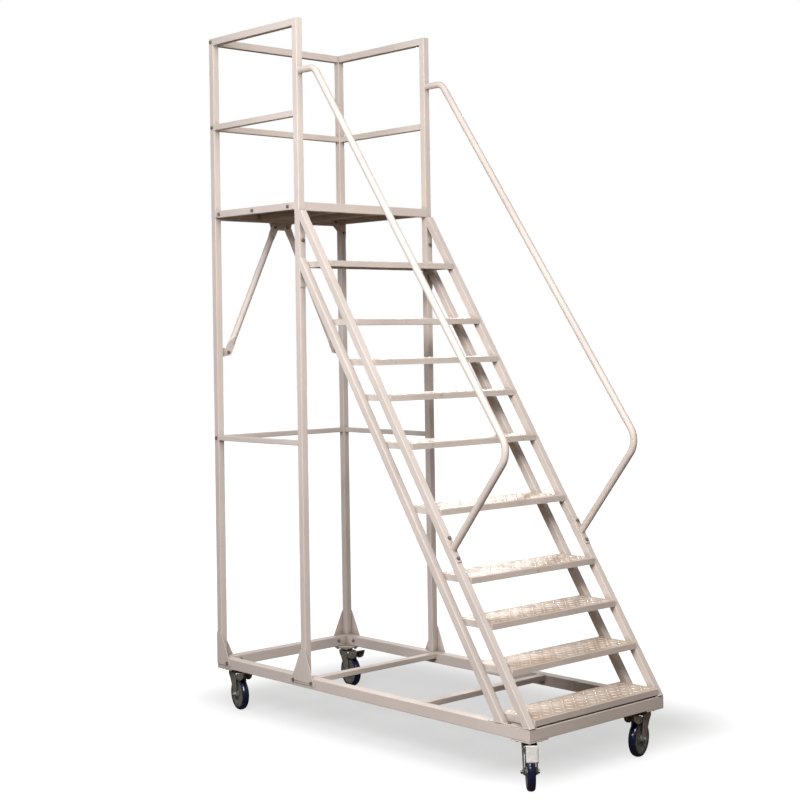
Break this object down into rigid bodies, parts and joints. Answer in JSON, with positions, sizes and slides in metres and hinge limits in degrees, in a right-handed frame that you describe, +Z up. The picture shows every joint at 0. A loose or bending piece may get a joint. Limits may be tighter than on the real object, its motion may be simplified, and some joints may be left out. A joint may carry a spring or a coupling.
{
  "type": "mobile ladder stand",
  "caption": "Mobile ladder stand: a railed platform on a four-post tower, open pan treads between twin stringers, looped handrails and a base frame on braked swivel casters.",
  "frame": {"origin": "on the floor under the middle of the whole stand, casters included", "axes": "+Z up; the stair climbs towards +Y; X runs across the treads, +X on the right of a person climbing"},
  "size_m": [0.918, 2.2066, 3.37],
  "materials": {
    "frame_paint": "semi-gloss powder coat",
    "tread_paint": "glossy powder coat, scuffed",
    "zinc": "bright zinc plate",
    "zinc_bolt": "zinc plate",
    "hub": "moulded",
    "tyre": "glossy polyurethane"
  },
  "bodies": {
    "frame": {"post_rear_left": "frame_paint", "post_front_left": "frame_paint", "guard_rails_left": "frame_paint", "post_rear_right": "frame_paint", "post_front_right": "frame_paint", "guard_rails_right": "frame_paint", "guard_rails_rear": "frame_paint", "tie_rails": "frame_paint", "platform_side_rails": "frame_paint", "platform_front_beam": "frame_paint", "platform_rear_beam": "frame_paint", "platform_deck": "tread_paint", "deck_stiffeners": "frame_paint", "brace_strut_left": "frame_paint", "brace_strut_right": "frame_paint", "rear_brackets": "frame_paint", "base_rail_left": "frame_paint", "base_rail_right": "frame_paint", "base_rail_front": "frame_paint", "base_rail_rear": "frame_paint", "base_cross_members": "frame_paint", "base_corner_plates": "frame_paint", "post_gussets": "frame_paint", "stringer_upper_left": "frame_paint", "stringer_lower_left": "frame_paint", "stringer_upper_right": "frame_paint", "stringer_lower_right": "frame_paint", "stair_plates": "frame_paint", "tread_01": "tread_paint", "tread_02": "tread_paint", "tread_03": "tread_paint", "tread_04": "tread_paint", "tread_05": "tread_paint", "tread_06": "tread_paint", "tread_07": "tread_paint", "tread_08": "tread_paint", "tread_09": "tread_paint", "tread_10": "tread_paint", "handrail_left": "frame_paint", "handrail_right": "frame_paint", "handrail_feet": "frame_paint", "frame_bolts": "zinc_bolt", "caster_bolts": "zinc", "caster_plates": "zinc"},
    "swivel_front_left": {"caster_fork_front_left": "zinc"},
    "wheel_front_left": {"caster_hub_front_left": "hub", "caster_tyre_front_left": "tyre"},
    "pedal_front_left": {"caster_brake_pedal_front_left": "zinc"},
    "swivel_front_right": {"caster_fork_front_right": "zinc"},
    "wheel_front_right": {"caster_hub_front_right": "hub", "caster_tyre_front_right": "tyre"},
    "pedal_front_right": {"caster_brake_pedal_front_right": "zinc"},
    "swivel_rear_left": {"caster_fork_rear_left": "zinc"},
    "wheel_rear_left": {"caster_hub_rear_left": "hub", "caster_tyre_rear_left": "tyre"},
    "pedal_rear_left": {"caster_brake_pedal_rear_left": "zinc"},
    "swivel_rear_right": {"caster_fork_rear_right": "zinc"},
    "wheel_rear_right": {"caster_hub_rear_right": "hub", "caster_tyre_rear_right": "tyre"},
    "pedal_rear_right": {"caster_brake_pedal_rear_right": "zinc"}
  },
  "joints": [
    {"name": "swivel_front_left", "type": "hinge", "parent": "frame", "child": "swivel_front_left", "pos_m": [-0.346, -0.982, 0.18], "axis": [0, 0, 1], "continuous": true},
    {"name": "wheel_spin_front_left", "type": "hinge", "parent": "swivel_front_left", "child": "wheel_front_left", "pos_m": [-0.37277, -1.01173, 0.08], "axis": [0.7431, -0.6691, 0], "continuous": true},
    {"name": "brake_pedal_front_left", "type": "hinge", "parent": "swivel_front_left", "child": "pedal_front_left", "pos_m": [-0.36474, -1.00281, 0.167], "axis": [0.7431, -0.6691, 0], "range_deg": [0, 6]},
    {"name": "swivel_front_right", "type": "hinge", "parent": "frame", "child": "swivel_front_right", "pos_m": [0.382, -0.982, 0.18], "axis": [0, 0, 1], "continuous": true},
    {"name": "wheel_spin_front_right", "type": "hinge", "parent": "swivel_front_right", "child": "wheel_front_right", "pos_m": [0.34319, -0.99168, 0.08], "axis": [0.2419, -0.9703, 0], "continuous": true},
    {"name": "brake_pedal_front_right", "type": "hinge", "parent": "swivel_front_right", "child": "pedal_front_right", "pos_m": [0.35483, -0.98877, 0.167], "axis": [0.2419, -0.9703, 0], "range_deg": [0, 6]},
    {"name": "swivel_rear_left", "type": "hinge", "parent": "frame", "child": "swivel_rear_left", "pos_m": [-0.346, 1.026, 0.18], "axis": [0, 0, 1], "continuous": true},
    {"name": "wheel_spin_rear_left", "type": "hinge", "parent": "swivel_rear_left", "child": "wheel_rear_left", "pos_m": [-0.35432, 0.98687, 0.08], "axis": [0.9781, -0.2079, 0], "continuous": true},
    {"name": "brake_pedal_rear_left", "type": "hinge", "parent": "swivel_rear_left", "child": "pedal_rear_left", "pos_m": [-0.35182, 0.99861, 0.167], "axis": [0.9781, -0.2079, 0], "range_deg": [0, 6]},
    {"name": "swivel_rear_right", "type": "hinge", "parent": "frame", "child": "swivel_rear_right", "pos_m": [0.382, 1.026, 0.18], "axis": [0, 0, 1], "continuous": true},
    {"name": "wheel_spin_rear_right", "type": "hinge", "parent": "swivel_rear_right", "child": "wheel_rear_right", "pos_m": [0.37643, 0.98639, 0.08], "axis": [0.9903, -0.1392, 0], "continuous": true},
    {"name": "brake_pedal_rear_right", "type": "hinge", "parent": "swivel_rear_right", "child": "pedal_rear_right", "pos_m": [0.3781, 0.99827, 0.167], "axis": [0.9903, -0.1392, 0], "range_deg": [0, 6]}
  ]
}
